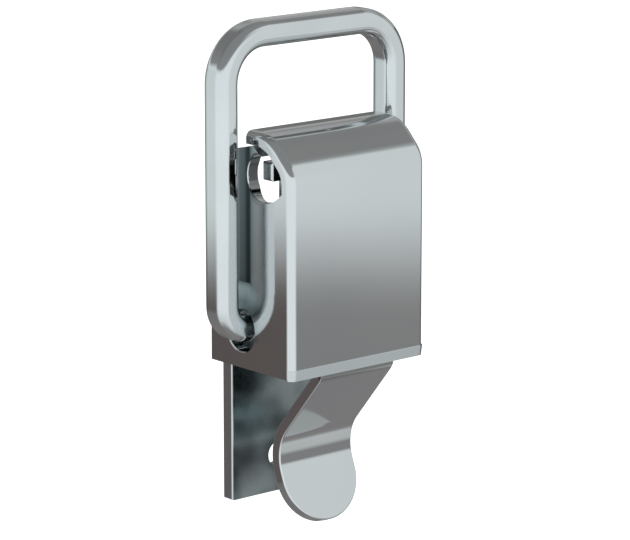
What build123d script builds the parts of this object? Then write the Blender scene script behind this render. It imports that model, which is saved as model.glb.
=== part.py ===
from build123d import *
from math import atan2, cos, hypot, radians, sin, tan
import os

# Over-centre catch in millimetres: X across, +Y into the mounting surface, +Z towards the keeper.
# The origin is midway between the two mounting holes, on the base strip's back face.

# Mounting holes
hole_d = 7.0
hole_spacing = 36.0
hole_margin = 10.3

# Base strip, a T-headed pressing
strip_t = 4.0
strip_w = 32.2
strip_bend_r = 4.0
jog_angle = 45.0
strip_edge_r = 0.5
neck_w = 29.2
neck_r = 2.0
trunnion_h = 4.9
trunnion_inset = 3.0
trunnion_fwd = 1.7
trunnion_up = 2.0

# Lever pivot, from the mounting surface and from the middle of the mounting holes
pivot_out = 22.2
pivot_up = 63.3
bore_d = 13.0

# Pressed lever housing, measured from the pivot
sheet_t = 3.5
side_gap = 0.5
front_reach = 14.6
rear_reach = 18.1
skirt_drop = 51.0
shoulder_up = 3.7
shoulder_r = 9.0
brow_back = 8.9
brow_r = 12.0
crown_up = 12.5
flap_reach = 3.4
cheek_top_front = 8.1
cheek_top_rear = 4.7
slit_w = 0.8
relief_end_angle = 19.0
relief_drop = 0.4
relief_belly = 4.3
relief_reach = 8.5
relief_start_angle = 18.0
bend_r = 2.0
edge_r = 0.4
rim_break = 0.3

# Scooped recess that the bail's arms lie beside
scoop_depth = 3.2
scoop_run = 14.1
scoop_rise = 12.4

# Pull tab under the housing
tab_w = 25.2
tab_t = 3.2
tab_angle = 38.9
tab_kick = 22.0
tab_drop = 23.6
tab_kick_len = 21.8
tab_root_r = 5.0
tab_valley_r = 11.5
tab_root_cover = 8.0
tab_root_bend = 1.2

# Bail and its holes in the cheeks
bail_hole_back = 5.6
bail_hole_drop = 41.2
bail_hole_d = 11.0
rod_d = 7.0
rod_lift = 0.7
rod_back = 0.6
rod_past_cheek = 1.9
rod_shoulder = 0.5
bar_w = 7.0
bar_d = 8.4
bar_corner_r = 2.8
arm_gap = 2.2
bail_reach = 73.9
bail_corner_r = 9.0
foot_bend_r = 3.2

# Places that follow from the sizes above
pivot_y = -pivot_out
front_y = pivot_y - front_reach
rear_y = pivot_y + rear_reach
skirt_z = pivot_up - skirt_drop
scoop_inner = strip_w / 2 + side_gap
side_x = scoop_inner + sheet_t + scoop_depth
cavity_x = side_x - sheet_t
bail_hole_y = pivot_y + bail_hole_back
bail_hole_z = pivot_up - bail_hole_drop
rod_y = bail_hole_y + rod_back
rod_z = bail_hole_z + rod_lift
scoop_z = bail_hole_z + scoop_rise
flap_y = pivot_y + flap_reach
clear_z = pivot_up + 2 * crown_up


def side_prism(face, half_width):
    """Extrude a face drawn in (Y, Z) across the catch, the same distance each side."""
    return extrude(Plane.YZ * face, amount=half_width, both=True)


def cross_bore(diameter, y, z, half_length):
    """Cylinder along X, centred on the catch's mid-plane."""
    return Pos(0, y, z) * Rot(0, 90, 0) * Cylinder(diameter / 2, 2 * half_length)


def lies_across(edge):
    """True for an edge that runs straight across the catch."""
    return edge.geom_type == GeomType.LINE and abs((edge % 0.5).X) > 0.99


def strip_profile(points, radii, thickness, side):
    """Bent strip seen from the side: a line with rounded bends, thickened to one side."""
    path = FilletPolyline(*points, radius=radii)
    return make_face(path.offset_2d(thickness, kind=Kind.INTERSECTION, side=side))


def make_base_strip():
    """Flat plate with two holes, jogged forward to a T-head whose arms are the lever's pivots."""
    head_y = pivot_y - trunnion_fwd
    head_back = head_y + strip_t / 2
    head_top = pivot_up + trunnion_up + trunnion_h / 2
    foot_z = -hole_spacing / 2 - hole_margin
    jog_z = hole_spacing / 2 + hole_margin + strip_bend_r * tan(radians(jog_angle / 2))
    jog_rise = -head_back / tan(radians(jog_angle))
    path = [(0, foot_z), (0, jog_z), (head_back, jog_z + jog_rise), (head_back, head_top)]
    outer_r = strip_bend_r + strip_t
    profile = strip_profile(path, [outer_r, strip_bend_r], strip_t, Side.LEFT)
    strip = side_prism(profile, strip_w / 2)
    long_edges = [e for e in strip.edges() if abs(abs(e.center().X) - strip_w / 2) < 0.01]
    strip = fillet(long_edges, strip_edge_r)

    beside = Box(strip_w, -2 * front_y, head_top, align=(Align.MIN, Align.CENTER, Align.MIN))
    beside = Pos(neck_w / 2, 0, jog_z + jog_rise) * beside
    inner_edges = beside.edges().filter_by(Axis.Y).sort_by(Axis.X)[:2]
    beside = fillet(inner_edges.sort_by(Axis.Z)[0], neck_r)
    strip = strip - beside - mirror(beside, Plane.YZ)

    reach = side_x - trunnion_inset
    trunnion = Pos(0, head_y, pivot_up + trunnion_up) * Box(2 * reach, strip_t, trunnion_h)
    trunnion = chamfer(trunnion.faces().sort_by(Axis.X)[0].edges(), strip_edge_r)
    trunnion = chamfer(trunnion.faces().sort_by(Axis.X)[-1].edges(), strip_edge_r)
    strip = strip + trunnion

    for z in (-hole_spacing / 2, hole_spacing / 2):
        strip -= Pos(0, -strip_t / 2, z) * Rot(90, 0, 0) * Cylinder(hole_d / 2, 2 * strip_t)
    return strip


def crown_path(inset, low_z, end_y):
    """Front wall, shoulder, crown and flap seen from the side, moved inwards by inset."""
    shoulder_turn = atan2(brow_back, crown_up - shoulder_up)
    brow_turn = radians(90) - shoulder_turn
    shoulder_z = pivot_up + shoulder_up - inset * tan(shoulder_turn / 2)
    brow_y = front_y + brow_back + inset * tan(brow_turn / 2)
    top_z = pivot_up + crown_up - inset
    points = [(front_y + inset, low_z), (front_y + inset, shoulder_z), (brow_y, top_z), (end_y, top_z)]
    return FilletPolyline(*points, radius=[shoulder_r - inset, brow_r - inset])


def housing_outline():
    """Side view of the whole housing: front wall, crown, flap, slit and cheek."""
    rest = Polyline(
        (flap_y, pivot_up + crown_up),
        (flap_y, pivot_up + cheek_top_front),
        (rear_y, pivot_up + cheek_top_rear),
        (rear_y, skirt_z),
        (front_y, skirt_z),
    )
    return make_face(crown_path(0, skirt_z, flap_y) + rest)


def cavity_outline():
    """Everything behind the front wall and under the flap, seen from the side."""
    low_z = skirt_z - sheet_t
    end_y = rear_y + sheet_t
    top_z = pivot_up + crown_up - sheet_t
    rest = Polyline((end_y, top_z), (end_y, low_z), (front_y + sheet_t, low_z))
    return make_face(crown_path(sheet_t, low_z, end_y) + rest)


def bore_rim(angle):
    """Point of the bore's rim in (Y, Z), at an angle forward of straight up."""
    turn = radians(angle)
    return (pivot_y - bore_d / 2 * sin(turn), pivot_up + bore_d / 2 * cos(turn))


def relief_outline():
    """Cut that frees the crown from each cheek: round the front of the bore and along the slit."""
    start = (front_y + sheet_t / 2, pivot_up - relief_drop)
    belly = (pivot_y - relief_reach, pivot_up - relief_belly)
    below_bore = bore_rim(180 - relief_start_angle)
    slit_z = pivot_up + cheek_top_front
    rear_z = pivot_up + cheek_top_rear
    fall = (slit_z - rear_z) / (rear_y - flap_y)
    rest = Polyline(
        below_bore,
        bore_rim(relief_end_angle),
        (flap_y - slit_w, slit_z + fall * slit_w),
        (rear_y + sheet_t, rear_z - fall * sheet_t),
        (rear_y + sheet_t, clear_z),
        (start[0], clear_z),
        start,
    )
    return make_face(ThreePointArc(start, belly, below_bore) + rest)


def scoop_body():
    """Scoop in the left cheek: a hollow ramp that runs up, and back round the bail's hole."""
    radius = (scoop_run**2 + scoop_depth**2) / (2 * scoop_depth)
    section = make_face(
        [
            Line((0, 0), (scoop_depth, 0)),
            RadiusArc((scoop_depth, 0), (0, scoop_run), radius),
            Line((0, scoop_run), (0, 0)),
        ]
    )
    top = pivot_up + crown_up
    ahead = Plane((-side_x, bail_hole_y, scoop_z), x_dir=(1, 0, 0), z_dir=(0, 0, 1))
    front_face = ahead * mirror(section, Plane.XZ)
    below = Plane((-side_x, bail_hole_y, scoop_z), x_dir=(1, 0, 0), z_dir=(0, 1, 0))
    lower_face = below * section
    run_up = extrude(front_face, amount=top - scoop_z, dir=(0, 0, 1))
    run_back = extrude(lower_face, amount=rear_y + sheet_t - bail_hole_y, dir=(0, 1, 0))
    hub = Axis((-side_x, bail_hole_y, scoop_z), (1, 0, 0))
    corner = revolve(front_face, hub, 90)
    floor_len = rear_y + sheet_t - bail_hole_y
    floor = Pos(-side_x, bail_hole_y, scoop_z) * Box(
        scoop_depth, floor_len, top - scoop_z, align=(Align.MIN, Align.MIN, Align.MIN)
    )
    return run_up + run_back + corner + floor


def wraps_front(edge):
    """True for the front's side edges, from the skirt over the crown, and for its lower lip."""
    place = edge.center()
    on_side = abs(abs(place.X) - side_x) < 0.01 and place.Y < flap_y - 0.01 and place.Z > skirt_z + 0.01
    on_lip = abs(place.Y - front_y) < 0.01 and abs(place.Z - skirt_z) < 0.01
    return on_side or on_lip


def make_lever():
    """Housing pressed from one sheet: crown, slit, scooped cheeks, bores and pull tab."""
    outline = housing_outline()
    block = side_prism(outline, side_x)
    wrap = [e for e in block.edges() if wraps_front(e)]
    block = fillet(wrap, bend_r)

    cavity = cavity_outline()
    cheeks = side_prism(outline, side_x)
    under_crown = side_prism(cavity, side_x + sheet_t)
    scoop = scoop_body()
    bulge = Pos(sheet_t, 0, 0) * scoop
    scoops = (scoop + mirror(scoop, Plane.YZ)) & under_crown
    bulges = (bulge + mirror(bulge, Plane.YZ)) & under_crown & cheeks

    lever = block - side_prism(cavity, cavity_x)
    lever = lever + bulges
    lever = lever - scoops
    lever -= side_prism(relief_outline(), side_x + sheet_t) & under_crown
    lever -= cross_bore(bore_d, pivot_y, pivot_up, side_x + sheet_t)
    lever -= cross_bore(bail_hole_d, bail_hole_y, bail_hole_z, side_x + sheet_t)
    lever = fillet(soft_edges(lever), edge_r)
    lever = chamfer(rim_edges(lever), rim_break)
    return lever + make_tab()


def follows_rim(edge, diameter, y, z):
    """True for a curved edge on the rim of a cross bore."""
    place = edge.center()
    off_rim = hypot(place.Y - y, place.Z - z) - diameter / 2
    return edge.geom_type != GeomType.LINE and abs(off_rim) < 0.01


def soft_edges(lever):
    """Edges that tumbling rounds off: the cheeks' rear edges and the flap's end."""
    edges = []
    for e in lever.edges():
        place = e.center()
        on_rear = abs(place.Y - rear_y) < 0.01 and place.Z > skirt_z + 1
        on_flap = abs(place.Y - flap_y) < 0.01 and lies_across(e)
        if on_rear or on_flap:
            edges.append(e)
    return edges


def rim_edges(lever):
    """Outer rims of the bores and of the bail's holes, which are deburred."""
    edges = []
    for e in lever.edges():
        place = e.center()
        off_bore = hypot(place.Y - pivot_y, place.Z - pivot_up) - bore_d / 2
        off_hole = hypot(place.Y - bail_hole_y, place.Z - bail_hole_z) - bail_hole_d / 2
        outside = abs(place.X) > side_x - scoop_depth - 0.01
        if outside and e.geom_type != GeomType.LINE and min(abs(off_bore), abs(off_hole)) < 0.01:
            edges.append(e)
    return edges


def make_tab():
    """Pull tab: leaves the front wall under the housing, bends back, then kicks out to a round end."""
    lean = radians(tab_angle)
    kick = radians(tab_kick)
    corner = (front_y + tab_drop * tan(lean), skirt_z - tab_drop)
    end = (corner[0] - tab_kick_len * sin(kick), corner[1] - tab_kick_len * cos(kick))
    points = [(front_y, skirt_z + tab_root_cover), (front_y, skirt_z - tab_root_bend), corner, end]
    profile = strip_profile(points, [tab_root_r, tab_valley_r], tab_t, Side.LEFT)
    tab = side_prism(profile, tab_w / 2)
    end_face = tab.faces().sort_by(Axis.Z)[0]
    corners = [e for e in end_face.edges() if abs(abs(e.center().X) - tab_w / 2) < 0.01]
    tab = fillet(corners, tab_w / 2 - 0.01)
    rims = [e for e in tab.edges() if not lies_across(e) and e.center().Z < skirt_z - edge_r]
    return fillet(rims, edge_r)


def make_bail():
    """Rectangular loop of rounded bar whose feet turn inwards and end in round rods."""
    arm_x = side_x + arm_gap + bar_w / 2
    top_z = rod_z + bail_reach + bar_w / 2
    corner_r = bail_corner_r + bar_w / 2
    foot_r = foot_bend_r + bar_w / 2
    turn_x = arm_x - foot_r - rod_shoulder
    points = [(-turn_x, rod_z), (-arm_x, rod_z), (-arm_x, top_z), (arm_x, top_z), (arm_x, rod_z), (turn_x, rod_z)]
    view = Plane((0, rod_y, 0), x_dir=(1, 0, 0), z_dir=(0, -1, 0))
    path = view * FilletPolyline(*points, radius=[foot_r, corner_r, corner_r, foot_r])
    bar_plane = Plane((-turn_x, rod_y, rod_z), x_dir=(0, 0, 1), z_dir=(-1, 0, 0))
    bail = sweep(bar_plane * RectangleRounded(bar_w, bar_d, bar_corner_r), path=path)
    rod_len = turn_x - scoop_inner + rod_past_cheek
    for side in (-1, 1):
        bail += Pos(side * (turn_x - rod_len / 2), rod_y, rod_z) * Rot(0, 90, 0) * Cylinder(rod_d / 2, rod_len)
    return bail


os.makedirs("parts", exist_ok=True)
export_step(make_base_strip(), "parts/base_strip.step")
export_step(make_lever(), "parts/lever.step")
export_step(make_bail(), "parts/bail.step")
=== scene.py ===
from math import cos, radians, sin

import bmesh
import bpy
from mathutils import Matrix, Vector


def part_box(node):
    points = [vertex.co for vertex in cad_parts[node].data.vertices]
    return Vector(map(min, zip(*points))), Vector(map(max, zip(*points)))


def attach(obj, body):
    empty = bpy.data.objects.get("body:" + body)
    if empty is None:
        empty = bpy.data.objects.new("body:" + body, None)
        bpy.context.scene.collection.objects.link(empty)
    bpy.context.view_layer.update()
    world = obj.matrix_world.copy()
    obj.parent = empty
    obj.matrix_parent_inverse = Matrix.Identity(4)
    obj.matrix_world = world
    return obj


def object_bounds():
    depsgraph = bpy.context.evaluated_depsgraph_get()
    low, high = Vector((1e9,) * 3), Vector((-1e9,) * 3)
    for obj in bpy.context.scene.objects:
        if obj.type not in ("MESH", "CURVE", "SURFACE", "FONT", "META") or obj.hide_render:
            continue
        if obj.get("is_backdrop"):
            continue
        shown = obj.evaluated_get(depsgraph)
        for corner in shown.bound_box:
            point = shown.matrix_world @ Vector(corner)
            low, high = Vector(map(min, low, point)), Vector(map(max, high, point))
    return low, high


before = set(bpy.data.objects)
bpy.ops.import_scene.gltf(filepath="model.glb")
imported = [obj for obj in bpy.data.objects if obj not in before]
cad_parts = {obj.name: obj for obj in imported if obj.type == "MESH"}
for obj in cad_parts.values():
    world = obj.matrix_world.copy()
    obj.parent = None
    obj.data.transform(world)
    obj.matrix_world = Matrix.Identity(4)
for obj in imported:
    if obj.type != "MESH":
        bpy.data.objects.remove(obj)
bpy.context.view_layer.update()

# The photograph is 630 by 540 pixels; the camera stands to the left of the catch and a little above it
PHOTO_WIDTH = 630
PHOTO_HEIGHT = 540
VIEW_AZIMUTH = radians(-40.66)
VIEW_ELEVATION = radians(12.56)
FOCAL_PIXELS = 3368
SENSOR_WIDTH = 36.0
CAMERA_DISTANCE = 0.8687
SKIRT_CORNER_PIXEL = (290.8, 382.0)
SKIRT_HEIGHT = 0.0123

# Part of the light that the steel sends back; the tent's colours are those seen in the steel
STEEL_SHINE = 0.68

# The light tent as the steel shows it: elevation in degrees and display colour, for four sides
TENT_CAMERA_SIDE = [
    (-60, (120, 118, 117)),
    (-40, (190, 196, 198)),
    (-16, (213, 218, 220)),
    (14, (210, 217, 219)),
    (20, (128, 130, 131)),
    (50, (124, 125, 126)),
]
TENT_RIGHT = [
    (-50, (119, 117, 118)),
    (-45, (125, 123, 123)),
    (-40, (174, 178, 179)),
    (-24, (166, 171, 172)),
    (-17, (120, 120, 120)),
    (-13, (123, 123, 123)),
    (-1, (121, 121, 122)),
    (4, (193, 199, 200)),
    (39, (194, 199, 200)),
    (45, (125, 127, 126)),
]
TENT_RIGHT_REAR = [
    (-49, (118, 116, 117)),
    (-35, (96, 95, 94)),
    (-5, (98, 98, 98)),
    (6, (154, 154, 153)),
    (17, (152, 152, 151)),
    (24, (128, 128, 127)),
    (34, (150, 151, 152)),
    (42, (150, 151, 152)),
    (46, (121, 121, 121)),
]
TENT_LEFT_REAR = [
    (-38, (112, 109, 109)),
    (-22, (108, 106, 106)),
    (-15, (84, 78, 76)),
    (-1, (84, 78, 76)),
    (4, (194, 200, 200)),
    (14, (198, 204, 204)),
    (19, (126, 128, 128)),
    (40, (110, 110, 110)),
]

# Bright strip of the tent close round the catch
RING_CENTRE = (-0.003, -0.011)
RING_RADIUS = 0.24
RING_LOW = -0.0268
RING_HIGH = 0.13
RING_FADE = 0.042
RING_CAMERA_SIDE = (212, 218, 220)
RING_RIGHT = (194, 199, 200)
RING_RIGHT_REAR = (98, 99, 98)
RING_LEFT_REAR = (194, 200, 200)
RING_REAR = (98, 113, 117)

# Headings, in degrees from straight ahead, between which one side of the tent passes into the next
LEFT_REAR_TURN = (-182, -132)
LEFT_TURN = (-132, -96)
FRONT_TURN = (4, 38)
RIGHT_TURN = (62, 82)
REAR_TURN = (158, 172)
TENT_TURNS = (LEFT_TURN, FRONT_TURN, RIGHT_TURN, REAR_TURN)

# Card low to the right of the catch
CARD_CENTRE = (0, -0.036, -0.1)
CARD_REACH = (0.114, 0.17)
CARD_TURN = (38, 145)
CARD_STEPS = 24
CARD_COLOUR = (172, 174, 173)

# Scooped cheeks, from the lever's own box: the floor's distance from the middle and its reach
SCOOP_DEPTH = 0.0032
SCOOP_FLOOR_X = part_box("lever")[1][0] - SCOOP_DEPTH
SCOOP_FRONT_Y = -0.031
SCOOP_DARKEST_Y = -0.016
SCOOP_REAR_Y = -0.0041
SCOOP_LOW_Z = 0.02
SCOOP_TOP_Z = 0.0716
SCOOP_BEND_Z = 0.0365
HEAD_LOW_Z = 0.045

# Lip along the front wall's lower edge, and the painted shade on the neck's bend under it
LIP_CORNER = 0.002
LIP_CORNER_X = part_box("lever")[1][0] - LIP_CORNER
LIP_CORNER_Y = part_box("lever")[0][1] + LIP_CORNER
LIP_TOP_Z = 0.0148
LIP_FOOT_Z = 0.01205
LIP_PROUD = 0.00032
LIP_FOOT = -0.00001
LIP_ROOT = 0.0016
LIP_WRAP = 72
LIP_STEPS = 8
NECK_TOP_Z = 0.01205
NECK_DROP = 0.0022
NECK_REAR_Y = -0.0352
NECK_SHADE = [
    (0.0, (0.37, 0.36, 0.36)),
    (0.35, (0.42, 0.41, 0.41)),
    (0.7, (0.85, 0.85, 0.85)),
    (1.0, (1.0, 1.0, 1.0)),
]
STRIP_FACE_Y = -0.0039
# Extra roughness on the scoops' floors, and the painted shade in the scoops: across the low round from front to rear,
# by the rise from the floor, and towards the cheeks' rear edges
SCOOP_ROUGHNESS = 0.24
SCOOP_LOW_SHADE = [
    (0.0, (1.0, 1.0, 1.0)),
    (0.25, (0.95, 0.97, 0.97)),
    (0.34, (0.62, 0.69, 0.71)),
    (0.44, (0.38, 0.45, 0.47)),
    (0.53, (0.24, 0.29, 0.31)),
    (0.66, (0.28, 0.32, 0.33)),
    (0.85, (0.85, 0.88, 0.88)),
    (1.0, (1.0, 1.0, 1.0)),
]
SCOOP_SHADE = [
    (0.0, (0.045, 0.065, 0.07)),
    (0.012, (0.2, 0.26, 0.28)),
    (0.04, (0.34, 0.41, 0.43)),
    (0.1, (0.5, 0.58, 0.6)),
    (0.2, (0.72, 0.8, 0.82)),
    (0.4, (0.9, 0.95, 0.96)),
    (0.6, (1.0, 1.0, 1.0)),
    (1.0, (1.0, 1.0, 1.0)),
]
SCOOP_REAR_SHADE = [
    (0.0, (0.0, 0.0, 0.0)),
    (0.1, (0.15, 0.19, 0.2)),
    (0.22, (0.2, 0.24, 0.26)),
    (0.38, (0.95, 0.97, 0.98)),
    (1.0, (1.0, 1.0, 1.0)),
]

FLOOR_DROP = 0.6
FLOOR_HALF = 6.0


def srgb(red, green, blue):
    """Linear colour of an 8-bit display colour."""
    def line(value):
        share = value / 255
        return share / 12.92 if share <= 0.04045 else ((share + 0.055) / 1.055) ** 2.4
    return (line(red), line(green), line(blue), 1.0)


def add_node(tree, kind, **settings):
    """New node with its settings: names of sockets with spaces written as underscores."""
    node = tree.nodes.new(kind)
    for name, value in settings.items():
        if hasattr(node, name):
            setattr(node, name, value)
        else:
            node.inputs[name.replace("_", " ")].default_value = value
    return node


def place_camera():
    """Camera that puts the housing's lower front corner on its pixel of the photograph."""
    data = bpy.data.cameras.new("camera")
    data.sensor_width = SENSOR_WIDTH
    data.lens = FOCAL_PIXELS * SENSOR_WIDTH / PHOTO_WIDTH
    camera = bpy.data.objects.new("camera", data)
    bpy.context.collection.objects.link(camera)
    back = Vector((
        sin(VIEW_AZIMUTH) * cos(VIEW_ELEVATION),
        -cos(VIEW_AZIMUTH) * cos(VIEW_ELEVATION),
        sin(VIEW_ELEVATION),
    ))
    turn = (-back).to_track_quat("-Z", "Y")
    right = turn @ Vector((1, 0, 0))
    up = turn @ Vector((0, 1, 0))
    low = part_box("lever")[0]
    corner = Vector((low[0], low[1], SKIRT_HEIGHT))
    aside = (SKIRT_CORNER_PIXEL[0] - PHOTO_WIDTH / 2) / FOCAL_PIXELS
    above = (PHOTO_HEIGHT / 2 - SKIRT_CORNER_PIXEL[1]) / FOCAL_PIXELS
    camera.location = corner + CAMERA_DISTANCE * (back - right * aside - up * above)
    camera.rotation_mode = "QUATERNION"
    camera.rotation_quaternion = turn
    bpy.context.scene.camera = camera


def fill_ramp(ramp, bands):
    """Colour ramp over the sine of the elevation, from straight down to straight up."""
    stops = ramp.elements
    first, last = bands[0], bands[-1]
    stops[0].position = (sin(radians(first[0])) + 1) / 2
    stops[0].color = srgb(*first[1])
    stops[1].position = (sin(radians(last[0])) + 1) / 2
    stops[1].color = srgb(*last[1])
    for angle, colour in bands[1:-1]:
        stop = stops.new((sin(radians(angle)) + 1) / 2)
        stop.color = srgb(*colour)


def tent_sides(tree, direction, colours, turns):
    """Blend the sides' colours by the heading of a direction, from the left rear round by the front."""
    links = tree.links
    split = tree.nodes.new("ShaderNodeSeparateXYZ")
    links.new(direction, split.inputs[0])
    front = add_node(tree, "ShaderNodeMath", operation="MULTIPLY")
    links.new(split.outputs["Y"], front.inputs[0])
    front.inputs[1].default_value = -1
    heading = add_node(tree, "ShaderNodeMath", operation="ARCTAN2")
    links.new(split.outputs["X"], heading.inputs[0])
    links.new(front.outputs[0], heading.inputs[1])
    blended = colours[0]
    for (low, high), colour in zip(turns, colours[1:]):
        share = add_node(tree, "ShaderNodeMapRange", interpolation_type="SMOOTHSTEP")
        share.inputs["From Min"].default_value = radians(low)
        share.inputs["From Max"].default_value = radians(high)
        mix = add_node(tree, "ShaderNodeMix", data_type="RGBA")
        links.new(heading.outputs[0], share.inputs["Value"])
        links.new(share.outputs["Result"], mix.inputs[0])
        links.new(blended, mix.inputs[6])
        links.new(colour, mix.inputs[7])
        blended = mix.outputs[2]
    return blended


def light_tent():
    """World: a grey tent with bright bands, different on each side; white to the camera."""
    world = bpy.data.worlds.new("tent")
    bpy.context.scene.world = world
    world.use_nodes = True
    tree = world.node_tree
    tree.nodes.clear()
    links = tree.links
    place = tree.nodes.new("ShaderNodeTexCoord")
    split = tree.nodes.new("ShaderNodeSeparateXYZ")
    links.new(place.outputs["Generated"], split.inputs[0])
    height = tree.nodes.new("ShaderNodeMapRange")
    height.inputs["From Min"].default_value = -1
    links.new(split.outputs["Z"], height.inputs["Value"])
    sides = []
    for bands in (TENT_LEFT_REAR, TENT_CAMERA_SIDE, TENT_RIGHT, TENT_RIGHT_REAR):
        ramp = tree.nodes.new("ShaderNodeValToRGB")
        links.new(height.outputs["Result"], ramp.inputs["Fac"])
        fill_ramp(ramp.color_ramp, bands)
        sides.append(ramp.outputs["Color"])
    tent = add_node(tree, "ShaderNodeBackground", Strength=1 / STEEL_SHINE)
    plain = add_node(tree, "ShaderNodeBackground", Color=(1, 1, 1, 1), Strength=1.0)
    seen = tree.nodes.new("ShaderNodeLightPath")
    choice = tree.nodes.new("ShaderNodeMixShader")
    output = tree.nodes.new("ShaderNodeOutputWorld")
    sides.append(sides[0])
    links.new(tent_sides(tree, place.outputs["Generated"], sides, TENT_TURNS), tent.inputs["Color"])
    links.new(seen.outputs["Is Camera Ray"], choice.inputs["Fac"])
    links.new(tent.outputs[0], choice.inputs[1])
    links.new(plain.outputs[0], choice.inputs[2])
    links.new(choice.outputs[0], output.inputs["Surface"])


def light_ring():
    """Bright low strip of the tent, near enough for its soft lower edge to cross the housing."""
    mesh = bpy.data.meshes.new("light_ring")
    form = bmesh.new()
    bmesh.ops.create_cone(form, cap_ends=False, segments=96, radius1=RING_RADIUS, radius2=RING_RADIUS,
                          depth=RING_HIGH - RING_LOW)
    form.to_mesh(mesh)
    form.free()
    ring = bpy.data.objects.new("light_ring", mesh)
    ring.location = (*RING_CENTRE, (RING_HIGH + RING_LOW) / 2)
    bpy.context.collection.objects.link(ring)
    ring.visible_camera = False
    ring.visible_diffuse = False
    ring.visible_shadow = False
    ring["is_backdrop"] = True

    material = bpy.data.materials.new("lit cloth")
    material.use_nodes = True
    tree = material.node_tree
    tree.nodes.clear()
    links = tree.links
    place = tree.nodes.new("ShaderNodeNewGeometry")
    split = tree.nodes.new("ShaderNodeSeparateXYZ")
    links.new(place.outputs["Position"], split.inputs[0])
    fade = add_node(tree, "ShaderNodeMapRange", interpolation_type="SMOOTHSTEP")
    fade.inputs["From Min"].default_value = RING_LOW
    fade.inputs["From Max"].default_value = RING_LOW + RING_FADE
    links.new(split.outputs["Z"], fade.inputs["Value"])
    sides = []
    for colour in (RING_REAR, RING_LEFT_REAR, RING_CAMERA_SIDE, RING_RIGHT, RING_RIGHT_REAR, RING_REAR):
        cloth = tree.nodes.new("ShaderNodeRGB")
        cloth.outputs[0].default_value = srgb(*colour)
        sides.append(cloth.outputs[0])
    glow = add_node(tree, "ShaderNodeEmission", Strength=1 / STEEL_SHINE)
    clear = tree.nodes.new("ShaderNodeBsdfTransparent")
    mix = tree.nodes.new("ShaderNodeMixShader")
    output = tree.nodes.new("ShaderNodeOutputMaterial")
    links.new(tent_sides(tree, place.outputs["Position"], sides, (LEFT_REAR_TURN, *TENT_TURNS)), glow.inputs["Color"])
    links.new(fade.outputs["Result"], mix.inputs["Fac"])
    links.new(clear.outputs[0], mix.inputs[1])
    links.new(glow.outputs[0], mix.inputs[2])
    links.new(mix.outputs[0], output.inputs["Surface"])
    mesh.materials.append(material)


def light_card():
    """Bright card low to the right, which the housing's lower lip shows as a light line."""
    mesh = bpy.data.meshes.new("light_card")
    form = bmesh.new()
    rows = []
    for step in range(CARD_STEPS + 1):
        turn = radians(CARD_TURN[0] + (CARD_TURN[1] - CARD_TURN[0]) * step / CARD_STEPS)
        rows.append([form.verts.new((reach * sin(turn), -reach * cos(turn), 0)) for reach in CARD_REACH])
    for low, high in zip(rows, rows[1:]):
        form.faces.new((low[0], low[1], high[1], high[0]))
    form.to_mesh(mesh)
    form.free()
    card = bpy.data.objects.new("light_card", mesh)
    card.location = CARD_CENTRE
    bpy.context.collection.objects.link(card)
    card.visible_camera = False
    card.visible_diffuse = False
    card.visible_shadow = False
    card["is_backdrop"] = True
    material = bpy.data.materials.new("lit card")
    material.use_nodes = True
    tree = material.node_tree
    tree.nodes.clear()
    glow = add_node(tree, "ShaderNodeEmission", Color=srgb(*CARD_COLOUR), Strength=1 / STEEL_SHINE)
    output = tree.nodes.new("ShaderNodeOutputMaterial")
    tree.links.new(glow.outputs[0], output.inputs["Surface"])
    mesh.materials.append(material)


def lay_floor():
    """Plain pale floor well below the catch, seen by the camera and not by the steel."""
    mesh = bpy.data.meshes.new("floor")
    form = bmesh.new()
    bmesh.ops.create_grid(form, x_segments=1, y_segments=1, size=FLOOR_HALF)
    bmesh.ops.translate(form, verts=form.verts, vec=(0, 0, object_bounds()[0][2] - FLOOR_DROP))
    form.to_mesh(mesh)
    form.free()
    floor = bpy.data.objects.new("floor", mesh)
    bpy.context.collection.objects.link(floor)
    floor.visible_glossy = False
    floor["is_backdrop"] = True
    material = bpy.data.materials.new("pale floor")
    material.use_nodes = True
    shader = material.node_tree.nodes["Principled BSDF"]
    shader.inputs["Base Color"].default_value = (0.9, 0.9, 0.9, 1)
    shader.inputs["Roughness"].default_value = 0.9
    shader.inputs["Emission Color"].default_value = (1, 1, 1, 1)
    shader.inputs["Emission Strength"].default_value = 1.0
    mesh.materials.append(material)


def new_group(name, inputs, outputs):
    """Shader node group with named inputs (name, kind, default) and outputs (name, kind)."""
    group = bpy.data.node_groups.new(name, "ShaderNodeTree")
    for label, kind, value in inputs:
        socket = group.interface.new_socket(label, in_out="INPUT", socket_type=kind)
        socket.default_value = value
    for label, kind in outputs:
        group.interface.new_socket(label, in_out="OUTPUT", socket_type=kind)
    return group, group.nodes.new("NodeGroupInput"), group.nodes.new("NodeGroupOutput")


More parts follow.
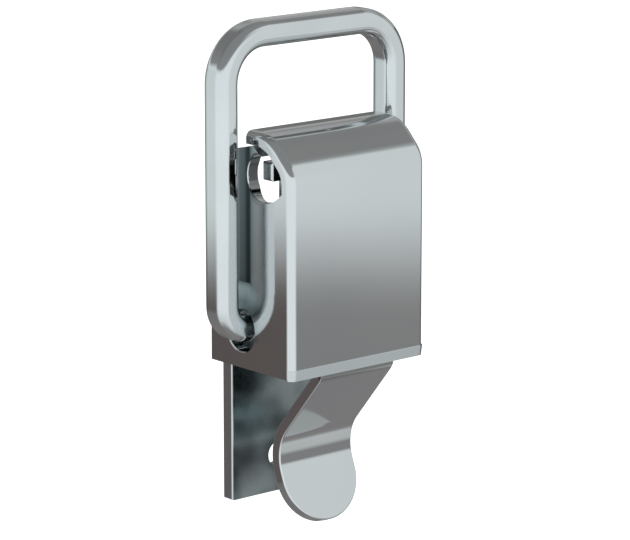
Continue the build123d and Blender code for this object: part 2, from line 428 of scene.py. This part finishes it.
def cloud_group():
    """Soft clouding of the finish: passes between two tints in patches."""
    group, given, result = new_group("clouding", [
        ("Light Tint", "NodeSocketColor", (0.68, 0.7, 0.71, 1)),
        ("Dark Tint", "NodeSocketColor", (0.6, 0.62, 0.63, 1)),
        ("Patch Size", "NodeSocketFloat", 0.02),
        ("Contrast", "NodeSocketFloat", 0.5),
    ], [("Tint", "NodeSocketColor"), ("Patches", "NodeSocketFloat")])
    links = group.links
    place = group.nodes.new("ShaderNodeTexCoord")
    scale = add_node(group, "ShaderNodeMath", operation="DIVIDE")
    scale.inputs[0].default_value = 1
    patches = add_node(group, "ShaderNodeTexNoise", Detail=2.0, Roughness=0.45)
    spread = add_node(group, "ShaderNodeMapRange", interpolation_type="SMOOTHSTEP")
    half = add_node(group, "ShaderNodeMath", operation="MULTIPLY")
    half.inputs[1].default_value = 0.25
    low = add_node(group, "ShaderNodeMath", operation="SUBTRACT")
    low.inputs[0].default_value = 0.5
    high = add_node(group, "ShaderNodeMath", operation="ADD")
    high.inputs[0].default_value = 0.5
    width = add_node(group, "ShaderNodeMath", operation="SUBTRACT")
    width.inputs[0].default_value = 1.2
    mix = add_node(group, "ShaderNodeMix", data_type="RGBA")
    links.new(given.outputs["Patch Size"], scale.inputs[1])
    links.new(place.outputs["Object"], patches.inputs["Vector"])
    links.new(scale.outputs[0], patches.inputs["Scale"])
    links.new(given.outputs["Contrast"], width.inputs[1])
    links.new(width.outputs[0], half.inputs[0])
    links.new(half.outputs[0], low.inputs[1])
    links.new(half.outputs[0], high.inputs[1])
    links.new(patches.outputs["Fac"], spread.inputs["Value"])
    links.new(low.outputs[0], spread.inputs["From Min"])
    links.new(high.outputs[0], spread.inputs["From Max"])
    links.new(spread.outputs["Result"], mix.inputs[0])
    links.new(given.outputs["Dark Tint"], mix.inputs[6])
    links.new(given.outputs["Light Tint"], mix.inputs[7])
    links.new(mix.outputs[2], result.inputs["Tint"])
    links.new(spread.outputs["Result"], result.inputs["Patches"])
    return group


def grain_group():
    """Polishing grain: fine lines along the part, with a roughness that wanders a little."""
    group, given, result = new_group("polishing grain", [
        ("Roughness", "NodeSocketFloat", 0.08),
        ("Spread", "NodeSocketFloat", 0.03),
        ("Line Width", "NodeSocketFloat", 0.0004),
        ("Line Length", "NodeSocketFloat", 0.02),
    ], [("Roughness", "NodeSocketFloat"), ("Height", "NodeSocketFloat")])
    links = group.links
    place = group.nodes.new("ShaderNodeTexCoord")
    across = add_node(group, "ShaderNodeMath", operation="DIVIDE")
    across.inputs[0].default_value = 1
    along = add_node(group, "ShaderNodeMath", operation="DIVIDE")
    along.inputs[0].default_value = 1
    scale = group.nodes.new("ShaderNodeCombineXYZ")
    stretched = add_node(group, "ShaderNodeVectorMath", operation="MULTIPLY")
    lines = add_node(group, "ShaderNodeTexNoise", Scale=1.0, Detail=3.0, Roughness=0.6)
    wander = add_node(group, "ShaderNodeTexNoise", Scale=55.0, Detail=2.0)
    both = add_node(group, "ShaderNodeMath", operation="ADD")
    centred = add_node(group, "ShaderNodeMath", operation="SUBTRACT")
    centred.inputs[1].default_value = 1
    swing = add_node(group, "ShaderNodeMath", operation="MULTIPLY_ADD")
    links.new(given.outputs["Line Width"], across.inputs[1])
    links.new(given.outputs["Line Length"], along.inputs[1])
    links.new(across.outputs[0], scale.inputs["X"])
    links.new(across.outputs[0], scale.inputs["Y"])
    links.new(along.outputs[0], scale.inputs["Z"])
    links.new(place.outputs["Object"], stretched.inputs[0])
    links.new(scale.outputs[0], stretched.inputs[1])
    links.new(stretched.outputs[0], lines.inputs["Vector"])
    links.new(place.outputs["Object"], wander.inputs["Vector"])
    links.new(lines.outputs["Fac"], both.inputs[0])
    links.new(wander.outputs["Fac"], both.inputs[1])
    links.new(both.outputs[0], centred.inputs[0])
    links.new(centred.outputs[0], swing.inputs[0])
    links.new(given.outputs["Spread"], swing.inputs[1])
    links.new(given.outputs["Roughness"], swing.inputs[2])
    links.new(swing.outputs[0], result.inputs["Roughness"])
    links.new(lines.outputs["Fac"], result.inputs["Height"])
    return group


def place_group(tree, group, **values):
    """Node group in a material, with its own values."""
    node = tree.nodes.new("ShaderNodeGroup")
    node.node_tree = group
    for name, value in values.items():
        node.inputs[name.replace("_", " ")].default_value = value
    return node


def steel(name, clouding, grain, relief):
    """Polished steel: clouded tint, grain in the roughness and a faint relief of the same grain."""
    material = bpy.data.materials.new(name)
    material.use_nodes = True
    tree = material.node_tree
    links = tree.links
    shader = tree.nodes["Principled BSDF"]
    shader.inputs["Metallic"].default_value = 1.0
    clouds = place_group(tree, CLOUDING, **clouding)
    lines = place_group(tree, GRAIN, **grain)
    bump = add_node(tree, "ShaderNodeBump", Strength=relief, Distance=0.00002)
    links.new(clouds.outputs["Tint"], shader.inputs["Base Color"])
    links.new(lines.outputs["Roughness"], shader.inputs["Roughness"])
    links.new(lines.outputs["Height"], bump.inputs["Height"])
    links.new(bump.outputs["Normal"], shader.inputs["Normal"])
    return material


def keep_to_face(material):
    """Darker clouded patches lie on the strip's front face only: its edges and head keep one lighter tint."""
    tree = material.node_tree
    shader = tree.nodes["Principled BSDF"]
    place = tree.nodes.new("ShaderNodeTexCoord")
    split = tree.nodes.new("ShaderNodeSeparateXYZ")
    tree.links.new(place.outputs["Object"], split.inputs[0])
    above = math_node(tree, "GREATER_THAN", split.outputs["Z"], HEAD_LOW_Z)
    edge = math_node(tree, "GREATER_THAN", split.outputs["Y"], STRIP_FACE_Y)
    head = math_node(tree, "MAXIMUM", above, edge)
    mix = add_node(tree, "ShaderNodeMix", data_type="RGBA")
    tree.links.new(head, mix.inputs[0])
    tree.links.new(shader.inputs["Base Color"].links[0].from_socket, mix.inputs[6])
    mix.inputs[7].default_value = (0.62, 0.64, 0.65, 1)
    tree.links.new(mix.outputs[2], shader.inputs["Base Color"])


def darken(material, shade):
    """Multiply a material's tint by a shade that is worked out in the same material."""
    tree = material.node_tree
    shader = tree.nodes["Principled BSDF"]
    tint = shader.inputs["Base Color"].links[0].from_socket
    mix = add_node(tree, "ShaderNodeMix", data_type="RGBA", blend_type="MULTIPLY")
    mix.inputs[0].default_value = 1
    tree.links.new(tint, mix.inputs[6])
    tree.links.new(shade, mix.inputs[7])
    tree.links.new(mix.outputs[2], shader.inputs["Base Color"])


def curve_ramp(tree, value, stops):
    """Colour ramp over 0 to 1 from (position, colour) stops."""
    ramp = tree.nodes.new("ShaderNodeValToRGB")
    elements = ramp.color_ramp.elements
    elements[0].position, elements[0].color = stops[0][0], (*stops[0][1], 1)
    elements[1].position, elements[1].color = stops[-1][0], (*stops[-1][1], 1)
    for position, colour in stops[1:-1]:
        elements.new(position).color = (*colour, 1)
    tree.links.new(value, ramp.inputs["Fac"])
    return ramp.outputs["Color"]


def math_node(tree, operation, first, second):
    """Math node of two values, each a socket or a number."""
    node = add_node(tree, "ShaderNodeMath", operation=operation)
    for socket, value in zip(node.inputs, (first, second)):
        if isinstance(value, (int, float)):
            socket.default_value = value
        else:
            tree.links.new(value, socket)
    return node.outputs[0]


def painted_scoop_shade(tree):
    """Painted shade at the bottom of the cheeks' scoops, darkest on the floor and round the low end; their floors
    also get extra roughness.
    """
    place = tree.nodes.new("ShaderNodeTexCoord")
    split = tree.nodes.new("ShaderNodeSeparateXYZ")
    tree.links.new(place.outputs["Object"], split.inputs[0])
    aside = math_node(tree, "ABSOLUTE", split.outputs["X"], 0)
    rise = math_node(tree, "DIVIDE", math_node(tree, "SUBTRACT", aside, SCOOP_FLOOR_X), SCOOP_DEPTH)
    ramp_shade = curve_ramp(tree, rise, SCOOP_SHADE)
    rearward = math_node(tree, "SUBTRACT", split.outputs["Y"], SCOOP_DARKEST_Y)
    rear_shade = curve_ramp(tree, math_node(tree, "DIVIDE", rearward, -SCOOP_DARKEST_Y), SCOOP_REAR_SHADE)
    lighter = add_node(tree, "ShaderNodeMix", data_type="RGBA", blend_type="LIGHTEN")
    lighter.inputs[0].default_value = 1
    tree.links.new(ramp_shade, lighter.inputs[6])
    tree.links.new(rear_shade, lighter.inputs[7])
    low_end = curve_ramp(tree, math_node(tree, "DIVIDE", math_node(tree, "SUBTRACT", split.outputs["Z"],
                         SCOOP_LOW_Z), SCOOP_BEND_Z - SCOOP_LOW_Z), [(0.0, (1, 1, 1)), (0.6, (1, 1, 1)), (1.0, (0, 0, 0))])
    low_shade = curve_ramp(tree, math_node(tree, "DIVIDE", math_node(tree, "SUBTRACT", split.outputs["Y"],
                           SCOOP_FRONT_Y), SCOOP_REAR_Y - SCOOP_FRONT_Y), SCOOP_LOW_SHADE)
    bend = add_node(tree, "ShaderNodeMix", data_type="RGBA")
    bend.inputs[6].default_value = (1, 1, 1, 1)
    tree.links.new(low_end, bend.inputs[0])
    tree.links.new(low_shade, bend.inputs[7])
    darker = add_node(tree, "ShaderNodeMix", data_type="RGBA", blend_type="MULTIPLY")
    darker.inputs[0].default_value = 1
    tree.links.new(lighter.outputs[2], darker.inputs[6])
    tree.links.new(bend.outputs[2], darker.inputs[7])
    inside = math_node(tree, "GREATER_THAN", rise, -0.02)
    behind = math_node(tree, "GREATER_THAN", split.outputs["Y"], SCOOP_FRONT_Y)
    under = math_node(tree, "LESS_THAN", split.outputs["Z"], SCOOP_TOP_Z)
    above = math_node(tree, "GREATER_THAN", split.outputs["Z"], SCOOP_LOW_Z)
    here = math_node(tree, "MULTIPLY", math_node(tree, "MULTIPLY", inside, behind),
                     math_node(tree, "MULTIPLY", under, above))
    mix = add_node(tree, "ShaderNodeMix", data_type="RGBA")
    mix.inputs[6].default_value = (1, 1, 1, 1)
    tree.links.new(here, mix.inputs[0])
    tree.links.new(darker.outputs[2], mix.inputs[7])
    shader = tree.nodes["Principled BSDF"]
    dull = curve_ramp(tree, rise, [(0.0, (1, 1, 1)), (0.8, (1, 1, 1)), (0.98, (0, 0, 0))])
    extra = math_node(tree, "MULTIPLY", math_node(tree, "MULTIPLY", dull, here), SCOOP_ROUGHNESS)
    rough = math_node(tree, "ADD", shader.inputs["Roughness"].links[0].from_socket, extra)
    tree.links.new(rough, shader.inputs["Roughness"])
    return mix.outputs[2]


def painted_neck_shade(tree):
    """Painted shade on the outside of the neck's bend, just under the lip, darker than the faces."""
    place = tree.nodes.new("ShaderNodeTexCoord")
    split = tree.nodes.new("ShaderNodeSeparateXYZ")
    tree.links.new(place.outputs["Object"], split.inputs[0])
    drop = math_node(tree, "DIVIDE", math_node(tree, "SUBTRACT", NECK_TOP_Z, split.outputs["Z"]), NECK_DROP)
    shade = curve_ramp(tree, drop, NECK_SHADE)
    front = math_node(tree, "LESS_THAN", split.outputs["Y"], NECK_REAR_Y)
    under = math_node(tree, "LESS_THAN", split.outputs["Z"], NECK_TOP_Z)
    mix = add_node(tree, "ShaderNodeMix", data_type="RGBA")
    mix.inputs[6].default_value = (1, 1, 1, 1)
    tree.links.new(math_node(tree, "MULTIPLY", front, under), mix.inputs[0])
    tree.links.new(shade, mix.inputs[7])
    return mix.outputs[2]


def front_lip(material):
    """Lip along the front wall's lower edge, from cheek to cheek and round both corners."""
    profile = ((0.0, LIP_TOP_Z), (LIP_PROUD, LIP_TOP_Z), (LIP_FOOT, LIP_FOOT_Z), (-LIP_ROOT, LIP_FOOT_Z))
    mesh = bpy.data.meshes.new("front_lip")
    form = bmesh.new()
    turns = [-LIP_WRAP + LIP_WRAP * step / LIP_STEPS for step in range(LIP_STEPS + 1)]
    stations = [(-1, turn) for turn in turns] + [(1, -turn) for turn in reversed(turns)]
    rows = []
    for side, turn in stations:
        row = []
        for proud, height in profile:
            reach = LIP_CORNER + proud
            row.append(form.verts.new((side * LIP_CORNER_X + reach * sin(radians(turn)),
                                       LIP_CORNER_Y - reach * cos(radians(turn)), height)))
        rows.append(row)
    for first, second in zip(rows, rows[1:]):
        for low, high in zip(range(4), (1, 2, 3, 0)):
            form.faces.new((first[low], first[high], second[high], second[low]))
    form.faces.new(rows[0][::-1])
    form.faces.new(rows[-1])
    bmesh.ops.recalc_face_normals(form, faces=form.faces)
    for edge in form.edges:
        edge.smooth = len(edge.link_faces) == 2 and edge.calc_face_angle(0) < radians(30)
    for face in form.faces:
        face.smooth = True
    form.to_mesh(mesh)
    form.free()
    lip = bpy.data.objects.new("front_lip", mesh)
    bpy.context.collection.objects.link(lip)
    mesh.materials.append(material)
    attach(lip, "lever")


def dress(node, material):
    """Give a CAD node's mesh one material."""
    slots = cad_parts[node].material_slots
    if not slots:
        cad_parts[node].data.materials.append(material)
    for slot in slots:
        slot.material = material


bpy.context.scene.view_settings.view_transform = "Standard"
place_camera()
light_tent()
light_ring()
light_card()
lay_floor()
CLOUDING = cloud_group()
GRAIN = grain_group()
strip_steel = steel(
    "strip steel",
    {"Light_Tint": (0.5, 0.57, 0.59, 1), "Dark_Tint": (0.16, 0.2, 0.21, 1), "Patch_Size": 0.016, "Contrast": 0.7},
    {"Roughness": 0.2, "Spread": 0.08, "Line_Width": 0.0006, "Line_Length": 0.01},
    0.35,
)
keep_to_face(strip_steel)
housing_steel = steel(
    "housing steel",
    {"Light_Tint": (0.68, 0.695, 0.7, 1), "Dark_Tint": (0.65, 0.67, 0.68, 1), "Patch_Size": 0.03, "Contrast": 0.3},
    {"Roughness": 0.09, "Spread": 0.02, "Line_Width": 0.0005, "Line_Length": 0.015},
    0.12,
)
# Painted shade in the cheeks' scoops, multiplied into the housing's tint
darken(housing_steel, painted_scoop_shade(housing_steel.node_tree))
# Painted shade on the neck's bend just under the lip
darken(housing_steel, painted_neck_shade(housing_steel.node_tree))
bail_steel = steel(
    "bail steel",
    {"Light_Tint": (0.69, 0.71, 0.715, 1), "Dark_Tint": (0.65, 0.67, 0.68, 1), "Patch_Size": 0.02, "Contrast": 0.3},
    {"Roughness": 0.08, "Spread": 0.02, "Line_Width": 0.0005, "Line_Length": 0.012},
    0.12,
)
dress("base_strip", strip_steel)
dress("lever", housing_steel)
front_lip(housing_steel)
dress("bail", bail_steel)
